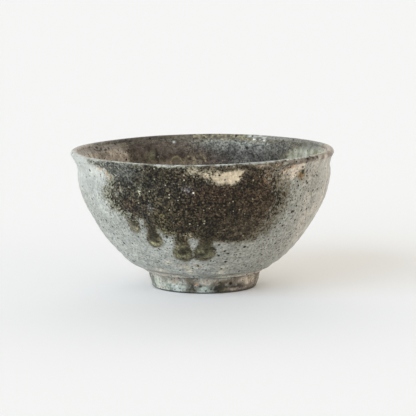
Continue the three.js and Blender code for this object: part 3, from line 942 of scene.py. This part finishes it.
def turned_piece(node, line, shown, level, paint, relief, material, density=FRONT_DENSITY):
    """A closed solid turned about the axis, from a line that closes on itself or runs from the axis back to
    it. Only rows that are shown carry relief."""
    bearings = column_bearings(density)
    from_axis = line[0, 0] == 0
    inner = slice(1, -1) if from_axis else slice(None)
    rows = len(line[inner])
    drawn = turned(line[inner], bearings)
    outward = turned(right_normals(line)[inner], bearings)
    places = Places(*np.broadcast_arrays(bearings[None, :], level[inner][:, None]), drawn)
    depth = relief(places) * shown[inner][:, None]
    points = hand_thrown(drawn + outward * depth[..., None]).reshape(-1, 3)
    attributes = paint(places.flat())
    faces = grid_faces(rows, COLUMNS, wrap_rows=not from_axis, wrap_columns=True).tolist()
    border_rows = shown & ~(np.roll(shown, 1) & np.roll(shown, -1))
    on_border = np.repeat(border_rows[inner], COLUMNS)
    rings = turned_uvs(line, shown, bearings, rows + 1 if from_axis else rows)
    uvs = [ring.reshape(-1, 2) for ring in (rings[1:-1] if from_axis else rings)]
    if from_axis:
        column = np.arange(COLUMNS)
        right = np.roll(column, -1)
        top = column + (rows - 1) * COLUMNS
        pole = np.full(COLUMNS, len(points))
        faces += np.stack([pole, right, column], 1).tolist()
        faces += np.stack([top, np.roll(top, -1), pole + 1], 1).tolist()
        uvs += [rings[0][:, [0, 2, 3]].reshape(-1, 2), rings[-1][:, [0, 1, 2]].reshape(-1, 2)]
        points = np.vstack([points, hand_thrown(np.array([[0, 0, line[0, 1]], [0, 0, line[-1, 1]]]))])
        on_border = np.append(on_border, [False, False])
        for label, values in attributes.items():
            attributes[label] = np.concatenate([values, values[[0, -1]]])
    new_piece(node, points, faces, np.concatenate(uvs), on_border, attributes, material)


def coat_piece(node, places, wall, relief, paint, material, faces_in=False):
    """A thin closed coat melted onto the face of a wall line, on a grid of places whose rows rise."""
    rows, columns = places.level.shape
    order = np.argsort(wall[:, 1])
    height = wall[order, 1]
    along_wall = [wall[:, 0], *right_normals(wall).T]
    radius, out, up = (np.interp(places.level, height, values[order]) for values in along_wall)
    face = around_axis(radius, places.bearing, places.level)
    outward = around_axis(out, places.bearing, up)
    front = hand_thrown(face + outward * relief[..., None]).reshape(-1, 3)
    back = hand_thrown(face - outward * COAT_SINK).reshape(-1, 3)

    corner = np.arange(rows * columns).reshape(rows, columns)
    border = np.concatenate([corner[0, :-1], corner[:-1, -1], corner[-1, :0:-1], corner[:0:-1, 0]])
    following = np.roll(border, -1)
    front_faces = grid_faces(rows, columns)
    back_faces = front_faces[:, ::-1] + len(front)
    side_faces = np.stack([following, border, border + len(front), following + len(front)], -1)
    edge = np.linspace(SIDE_MARGIN, 1 - SIDE_MARGIN, len(border) + 1)
    front_uvs = grid_uvs(rows, columns, COAT_FACE_STRIP)
    back_uvs = grid_uvs(rows, columns, COAT_BACK_STRIP)[:, ::-1]
    side_uvs = quad_uvs(edge[:-1], edge[1:], *COAT_SIDE_STRIP)
    turn = -1 if faces_in else 1
    faces = np.vstack([front_faces, back_faces, side_faces])[:, ::turn].tolist()
    uvs = np.concatenate([front_uvs, back_uvs, side_uvs])[:, ::turn]
    on_border = np.zeros(2 * len(front), bool)
    on_border[border] = True
    attributes = {label: np.concatenate([values, values]) for label, values in paint(places.flat()).items()}
    new_piece(node, np.vstack([front, back]), faces, uvs, on_border, attributes, material)


# Materials

class Nodes:
    """Short words for making the nodes of a tree."""

    def __init__(self, tree):
        self.tree = tree

    def feed(self, socket, value):
        if isinstance(value, bpy.types.NodeSocket):
            self.tree.links.new(value, socket)
        else:
            socket.default_value = value

    def add(self, kind, inputs=(), **settings):
        node = self.tree.nodes.new("ShaderNode" + kind)
        for key, value in settings.items():
            setattr(node, key, value)
        for key, value in dict(inputs).items():
            self.feed(node.inputs[key], value)
        return node

    def math(self, operation, first, second):
        return self.add("Math", {0: first, 1: second}, operation=operation).outputs["Value"]

    def times(self, first, second):
        return self.math("MULTIPLY", first, second)

    def ramp(self, value, low, high, start=0.0, end=1.0):
        inputs = {"Value": value, "From Min": low, "From Max": high, "To Min": start, "To Max": end}
        return self.add("MapRange", inputs, interpolation_type="SMOOTHSTEP").outputs["Result"]

    def mix(self, share, first, second):
        return self.add("Mix", {0: share, 6: first, 7: second}, data_type="RGBA").outputs[2]


class Looks(Nodes):
    """A node material of the bowl. Sizes are in millimetres."""

    def __init__(self, name):
        self.material = bpy.data.materials.new(name)
        self.material.use_nodes = True
        super().__init__(self.material.node_tree)
        self.shader = self.tree.nodes["Principled BSDF"]
        self.place = self.add("TexCoord").outputs["Object"]

    def set(self, name, value):
        self.feed(self.shader.inputs[name], value)

    def attribute(self, name, output="Fac"):
        return self.add("Attribute", attribute_name=name).outputs[output]

    def noise(self, size, detail=2.0, roughness=0.5, stretch=None):
        place = self.place
        if stretch:
            place = self.add("Mapping", {"Vector": place, "Scale": stretch}).outputs["Vector"]
        inputs = {"Vector": place, "Scale": 1 / (size * MM), "Detail": detail, "Roughness": roughness}
        return self.add("TexNoise", inputs).outputs["Fac"]

    def cells(self, size):
        """Distance to the nearest scattered point, as a share of the size, and two numbers of its own."""
        node = self.add("TexVoronoi", {"Vector": self.place, "Scale": 1 / (size * MM)})
        own = self.add("SeparateColor", {"Color": node.outputs["Color"]})
        return node.outputs["Distance"], own.outputs["Red"], own.outputs["Green"]

    def dots(self, spacing, radius, density):
        """Mask of scattered round dots; density is the share of places that hold one."""
        distance, own, growth = self.cells(spacing)
        reach = self.math("DIVIDE", distance, self.ramp(growth, 0, 1, 0.6, 1.3))
        round_mask = self.ramp(reach, radius / spacing, 0.7 * radius / spacing)
        return self.times(round_mask, self.math("LESS_THAN", own, density))

    def scaled(self, tint, factor):
        return self.add("VectorMath", {0: tint, "Scale": factor}, operation="SCALE").outputs["Vector"]

    def laid(self, tint, mask, strength, tone):
        """A tint with a tone laid over it where a mask shows."""
        return self.mix(self.times(mask, strength), tint, (*colour(tone), 1))

    def bump(self, height, depth):
        self.set("Normal", self.add("Bump", {"Height": height, "Distance": depth * MM}).outputs["Normal"])


def speckled_glaze(looks):
    """Colour of the mottled pale glaze with its iron specks."""
    density = looks.attribute("speck")
    mottling = looks.ramp(looks.noise(1.2, 3, 0.75), 0.3, 0.7, 0.66, 1.2)
    grains = looks.ramp(looks.cells(0.85)[1], 0, 1, 0.82, 1.12)
    contrast = looks.ramp(density, 0.2, 0.7, 0.5, 1.0)
    coarse = looks.math("POWER", looks.times(mottling, grains), contrast)
    patches = looks.ramp(looks.noise(4.5, 2), 0.3, 0.7, 0.88, 1.08)
    streaks = looks.ramp(looks.noise(1.5, 2, 0.5, (1, 1, 0.16)), 0.3, 0.7, 0.92, 1.06)
    tint = looks.scaled(looks.attribute("paint", "Color"), looks.times(coarse, looks.times(patches, streaks)))
    for spacing, radius, strength, tone in IRON_SPECKS:
        tint = looks.laid(tint, looks.dots(spacing, radius, density), strength, tone)
    return tint


def granular_ash(looks):
    """Colour of thick melted ash: dark grains, brown glass between them and pale flecks."""
    sparkle = looks.attribute("sparkle")
    grain = looks.ramp(looks.cells(0.72)[1], 0, 1, 0.2, 2.3)
    lumps = looks.ramp(looks.noise(0.85, 3, 0.75), 0.32, 0.68, 0.15, 2.5)
    clumps = looks.ramp(looks.noise(3.4, 2), 0.3, 0.7, 0.75, 1.25)
    grainy = looks.math("POWER", looks.times(grain, lumps), sparkle)
    tint = looks.scaled(looks.attribute("ash_paint", "Color"), looks.times(grainy, clumps))
    for spacing, radius, density, strength, tone in ASH_FLECKS:
        flecks = looks.times(looks.dots(spacing, radius, density), sparkle)
        tint = looks.laid(tint, flecks, strength, tone)
    return tint


def thin_ash(looks, glaze):
    """Colour where little ash melted into the glaze: a stain with olive grains."""
    stained = looks.mix(0.5, glaze, looks.attribute("stain", "Color"))
    grain = looks.ramp(looks.noise(0.95, 3, 0.75), 0.38, 0.66)
    return looks.laid(stained, grain, 0.85, (84, 78, 56))


def glaze_with_ash(name):
    looks = Looks(name)
    depth = looks.attribute("ash")
    fray = looks.attribute("fray")
    coarse = looks.ramp(looks.noise(1.4, 3, 0.75), 0.25, 0.75, -0.3, 1.9)
    fine = looks.ramp(looks.noise(1.1, 3, 0.75), 0.25, 0.75, -1.7, 0.9)
    loose = looks.ramp(looks.cells(0.95)[1], 0, 1, -0.9, 1.1)
    scatter = looks.math("ADD", fine, loose)
    thin = looks.ramp(looks.math("ADD", depth, looks.times(coarse, fray)), -0.5, 0.6)
    thick = looks.ramp(looks.math("ADD", depth, looks.times(scatter, fray)), -0.5, 0.6)
    glaze = speckled_glaze(looks)
    stained = looks.mix(thin, glaze, thin_ash(looks, glaze))
    looks.set("Base Color", looks.mix(thick, stained, granular_ash(looks)))
    rough = looks.ramp(looks.noise(2.2, 3), 0.3, 0.7, 0.36, 0.52)
    looks.set("Roughness", looks.math("ADD", rough, looks.times(thick, 0.06)))
    looks.set("Specular IOR Level", 0.14)
    looks.bump(looks.times(looks.noise(0.6, 3, 0.6), looks.ramp(thick, 0, 1, 0.3, 1.0)), 0.4)
    return looks.material


def washed_clay(name, rough_low, rough_high):
    looks = Looks(name)
    looks.set("Base Color", speckled_glaze(looks))
    looks.set("Roughness", looks.ramp(looks.noise(1.8, 3), 0.3, 0.7, rough_low, rough_high))
    looks.set("Specular IOR Level", 0.3)
    looks.bump(looks.noise(0.6, 4, 0.7), 0.3)
    return looks.material


# Lines of the turned pieces, each with the rows that are shown

def outer_skin_line():
    """Shown from the foot over the lip to its inner edge, then the hidden seat back down."""
    face = resampled(np.vstack([OUTER_WALL, lip_line()]), OUTER_ROWS)
    seat = resampled(offset_line(face, GLAZE_THICKNESS), HIDDEN_ROWS)[::-1]
    line = np.vstack([face, seat])
    return line, np.arange(len(line)) < OUTER_ROWS


def lining_line():
    """Hidden seat from the axis up to the lip, then the shown lining down to the axis."""
    face = resampled(INNER_WALL, INNER_ROWS, LIP_CROWDING)
    seat = resampled(offset_line(INNER_WALL, LINING_THICKNESS), HIDDEN_ROWS)[::-1]
    seat[0] = (0, WELL_HEIGHT - LINING_THICKNESS)
    face[-1, 0] = 0
    line = np.vstack([seat, face])
    return line, np.arange(len(line)) >= HIDDEN_ROWS


def clay_line():
    """Shown underside from the axis to the wall, then hidden under the glaze and the lining."""
    across = np.linspace(0, WALL_START[0], UNDERSIDE_ROWS)
    underside = np.stack([across, np.full(UNDERSIDE_ROWS, FOOT_HEIGHT)], 1)
    jacket = resampled(offset_line(np.vstack([OUTER_WALL, lip_line()]), GLAZE_THICKNESS), CLAY_OUTER_ROWS)
    lining = resampled(offset_line(INNER_WALL, LINING_THICKNESS), CLAY_INNER_ROWS)
    lining[-1] = (0, WELL_HEIGHT - LINING_THICKNESS)
    line = np.vstack([underside, jacket, lining])
    return line, np.arange(len(line)) < len(underside)


def foot_line():
    """Closed section of the foot ring, all of it shown."""
    corners = [
        (FOOT_INNER_RADIUS + FOOT_EDGE, 0),
        (FOOT_BOTTOM_RADIUS - FOOT_EDGE, 0),
        (foot_radius(FOOT_EDGE), FOOT_EDGE),
        (FOOT_TOP_RADIUS, FOOT_HEIGHT),
        (FOOT_INNER_RADIUS, FOOT_HEIGHT),
        (FOOT_INNER_RADIUS, FOOT_EDGE),
        (FOOT_INNER_RADIUS + FOOT_EDGE, 0),
    ]
    line = resampled(np.array(corners), FOOT_ROWS)[:-1]
    return line, np.ones(len(line), bool)


def levels_over_lip(line):
    """Heights along the outer skin's line, which go on rising over the lip on the rows of its face."""
    face = line[:OUTER_ROWS]
    way = line_length(face)
    crown = face[:, 1].argmax()
    lip_start = np.interp(LIP_HEIGHT, face[:crown, 1], way[:crown])
    level = np.where(way > lip_start, LIP_HEIGHT + way - lip_start, face[:, 1])
    return np.concatenate([level, line[OUTER_ROWS:, 1]])


# Coats

def grid(size, left, right):
    """Bearings, or places across, and shares of the height of a grid."""
    return np.meshgrid(np.linspace(left, right, size[1]), np.linspace(0, 1, size[0]))


def on_wall(bearing, level):
    """Places on the drawn outer wall."""
    return Places(bearing, level, around_axis(outer_radius(level), bearing, level))


def curtain_piece(material):
    bearing, share = grid(CURTAIN_GRID, CURTAIN_HEM[0][0], CURTAIN_HEM[-1][0])
    hem = np.interp(bearing, *zip(*CURTAIN_HEM))
    top = LIP_HEIGHT - CURTAIN_BELOW_LIP
    wall = on_wall(bearing, hem + (top - hem) * share)
    grains = 0.07 * wall.noise(1.3, 81) + 0.05 * wall.noise(0.7, 82) + 0.08 * wall.noise(4.5, 83)
    body = curtain_depth(wall) - 0.6 * (outer_fray(wall) - HEM_FRAY)
    relief = -CURTAIN_EDGE_SINK + 0.5 * smooth(-0.4, 3.2, body) + grains * smooth(0, 1.5, body)
    relief *= 1 - 1.3 * smooth(LIP_HEIGHT - 1.5, top, wall.level) * (relief > 0)
    coat_piece("ash_curtain", wall, OUTER_WALL, relief, outer_paint, material)


def run_piece(node, run, material):
    across, share = grid(RUN_GRID, -1, 1)
    long = run["top"][1] - run["tip"][1]
    up = (long + RUN_MARGIN) * share - RUN_MARGIN
    level = run["tip"][1] + up
    closing = np.clip((up + RUN_MARGIN) / (BULB_SQUASH * run["bulb"] + RUN_MARGIN), 0, 1)
    half = (run_half(run, up) + RUN_MARGIN) * np.sqrt(0.04 + 0.96 * closing * (2 - closing))
    wall = on_wall(run_centre(run, up) + np.degrees(across * half / outer_radius(level)), level)
    dome = np.sqrt(np.clip((run_depth(run, wall) + run_wander(wall)) / run["bulb"], 0, 1))
    swell = 0.55 + 0.45 * smooth(3.0, 1.2, up / run["bulb"])
    fade = 0.35 + 0.65 * smooth(1.0, 0.72, share)
    relief = -RUN_EDGE_SINK + run["thick"] * swell * dome * fade + 0.04 * wall.noise(1.3, 84)
    relief = np.where(share > 0.98, -RUN_EDGE_SINK, relief)
    coat_piece(node, wall, OUTER_WALL, relief, outer_paint, material)


def inner_curtain_piece(material):
    bearing, share = grid(INNER_CURTAIN_GRID, *INNER_COAT_BEARINGS)
    low, high = INNER_COAT_LEVELS
    wall = on_wall(bearing, low + (high - low) * share)
    depth = inner_ash_depth(wall)
    grains = 0.06 * wall.noise(1.4, 85)
    relief = -INNER_EDGE_SINK + 0.42 * smooth(-0.4, 3.0, depth) + grains * smooth(0, 1.5, depth)
    relief = np.where((share < 0.01) | (share > 0.99), -INNER_EDGE_SINK, relief)
    face = INNER_WALL[INNER_WALL[:, 1] > WELL_HEIGHT + WELL_ROUNDING]
    coat_piece("inner_ash_curtain", wall, face, relief, inner_paint, material, faces_in=True)


def foot_glaze_piece(material):
    bearing, share = grid(FOOT_GLAZE_GRID, FOOT_GLAZE_LEFT, FOOT_GLAZE_RIGHT)
    low = FOOT_GLAZE_BARE + 0.5 + 0.5 * on_wall(bearing, share).noise(4, 86)
    foot = on_wall(bearing, low + (FOOT_HEIGHT - FOOT_GLAZE_BELOW_BODY - low) * share)
    ends = within(bearing, (FOOT_GLAZE_LEFT, FOOT_GLAZE_LEFT + 12), (FOOT_GLAZE_RIGHT - 10, FOOT_GLAZE_RIGHT))
    swell = np.sqrt(np.clip(np.sin(math.pi * share), 0, 1))
    relief = -FOOT_GLAZE_EDGE_SINK + (0.4 * swell + 0.08 * foot.noise(3, 71)) * ends
    face = np.array([(foot_radius(0), 0), (foot_radius(FOOT_HEIGHT), FOOT_HEIGHT)])
    coat_piece("foot_glaze", foot, face, relief, foot_paint, material)


# Pieces of the bowl

outside = glaze_with_ash("pale_glaze_with_ash")
inside = glaze_with_ash("lining_glaze_with_ash")
foot_clay = washed_clay("turned_foot_clay", 0.6, 0.8)
foot_gloss = washed_clay("foot_glaze", 0.35, 0.5)
bare_clay = washed_clay("bare_clay", 0.75, 0.9)

jacket_line, jacket_shown = outer_skin_line()
jacket_level = levels_over_lip(jacket_line)
turned_piece(
    "outer_glaze", jacket_line, jacket_shown, jacket_level, outer_paint, throwing_rings, outside
)
for node, (line, shown), paint, relief, material, slot, density in [
    ("inner_glaze", lining_line(), inner_paint, lining_rings, inside, "lining_glaze", -FRONT_DENSITY),
    ("clay_body", clay_line(), clay_paint, underside_turning, bare_clay, "bare_clay", FRONT_DENSITY),
    ("foot_ring", foot_line(), foot_paint, foot_turning, foot_clay, "bare_clay", FRONT_DENSITY),
]:
    turned_piece(node, line, shown, line[:, 1], paint, relief, material, density)
foot_glaze_piece(foot_gloss)
curtain_piece(outside)
for run_name, run_sizes in ASH_RUNS.items():
    run_piece(run_name, run_sizes, outside)
inner_curtain_piece(inside)


# Stage, light and camera; sizes here are in metres, colours are linear

FLOOR_SIZE = 24.0
FLOOR_ALBEDO = (0.91, 0.907, 0.93, 1)
BACKDROP = (0.904, 0.902, 0.9, 1)
HORIZON_LIGHT = (1.715, 1.617, 1.393, 1)
ZENITH_LIGHT = (0.397, 0.398, 0.371, 1)
HORIZON_TOP = 0.25  # sine of the elevation where the horizon light begins to fade into the zenith light
ZENITH_START = 0.8
SUN_ELEVATION = math.radians(18)
SUN_ANGLE = math.radians(60)
KEY_BEARING = math.radians(-45)
KEY_LIGHT = (1.399, 1.773, 2.269)
BACK_BEARING = math.radians(180)
BACK_LIGHT = (0.84, 0.8, 0.78)
CAMERA_TARGET = Vector((0, 0, 0.032))
CAMERA_DISTANCE = 1.5
CAMERA_ELEVATION = math.radians(8.41)
CAMERA_LENS = 272.0
SENSOR_WIDTH = 36.0
CAMERA_RIGHT = 0.002386
CAMERA_UP = 0.00517
CAMERA_REACH = 50.0


def make_floor():
    half = FLOOR_SIZE / 2
    mesh = bpy.data.meshes.new("floor")
    corners = [(-half, -half, 0), (half, -half, 0), (half, half, 0), (-half, half, 0)]
    mesh.from_pydata(corners, [], [(0, 1, 2, 3)])
    floor = bpy.data.objects.new("floor", mesh)
    bpy.context.scene.collection.objects.link(floor)
    material = bpy.data.materials.new("floor_paper")
    material.use_nodes = True
    shader = material.node_tree.nodes["Principled BSDF"]
    shader.inputs["Base Color"].default_value = FLOOR_ALBEDO
    shader.inputs["Roughness"].default_value = 1.0
    shader.inputs["Specular IOR Level"].default_value = 0.0
    mesh.materials.append(material)


def make_world():
    """Warm light from all round, weaker from above; the camera and reflections see a pale backdrop."""
    world = bpy.data.worlds.new("studio")
    bpy.context.scene.world = world
    world.use_nodes = True
    nodes = Nodes(world.node_tree)
    light = world.node_tree.nodes["Background"]
    direction = nodes.add("TexCoord").outputs["Generated"]
    rise = nodes.add("SeparateXYZ", {"Vector": direction}).outputs["Z"]
    share = nodes.ramp(rise, HORIZON_TOP, ZENITH_START)
    nodes.feed(light.inputs["Color"], nodes.mix(share, HORIZON_LIGHT, ZENITH_LIGHT))
    backdrop = nodes.add("Background", {"Color": BACKDROP})
    path = nodes.add("LightPath")
    seen = path.outputs["Is Camera Ray"]
    for ray in ("Is Glossy Ray", "Is Transmission Ray"):
        seen = nodes.math("MAXIMUM", seen, path.outputs[ray])
    shaders = {1: light.outputs["Background"], 2: backdrop.outputs["Background"]}
    choice = nodes.add("MixShader", {"Fac": seen, **shaders})
    nodes.feed(world.node_tree.nodes["World Output"].inputs["Surface"], choice.outputs["Shader"])


def make_sun(name, bearing, light):
    """A very soft sun, low above the floor."""
    sun = bpy.data.lights.new(name, "SUN")
    sun.energy = 1.0
    sun.color = light
    sun.angle = SUN_ANGLE
    lamp = bpy.data.objects.new(name, sun)
    level = math.cos(SUN_ELEVATION)
    to_light = Vector((level * math.sin(bearing), -level * math.cos(bearing), math.sin(SUN_ELEVATION)))
    lamp.rotation_mode = "QUATERNION"
    lamp.rotation_quaternion = to_light.to_track_quat("Z", "Y")
    bpy.context.scene.collection.objects.link(lamp)


def make_camera():
    data = bpy.data.cameras.new("camera")
    data.lens = CAMERA_LENS
    data.sensor_width = SENSOR_WIDTH
    data.clip_end = CAMERA_REACH
    camera = bpy.data.objects.new("camera", data)
    back = Vector((0, -math.cos(CAMERA_ELEVATION), math.sin(CAMERA_ELEVATION)))
    up = Vector((0, math.sin(CAMERA_ELEVATION), math.cos(CAMERA_ELEVATION)))
    camera.location = CAMERA_TARGET + back * CAMERA_DISTANCE + Vector((CAMERA_RIGHT, 0, 0)) + up * CAMERA_UP
    camera.rotation_euler = (math.radians(90) - CAMERA_ELEVATION, 0, 0)
    bpy.context.scene.collection.objects.link(camera)
    bpy.context.scene.camera = camera


make_floor()
make_world()
make_sun("key_light", KEY_BEARING, KEY_LIGHT)
make_sun("back_light", BACK_BEARING, BACK_LIGHT)
make_camera()
bpy.context.scene.view_settings.view_transform = "Standard"
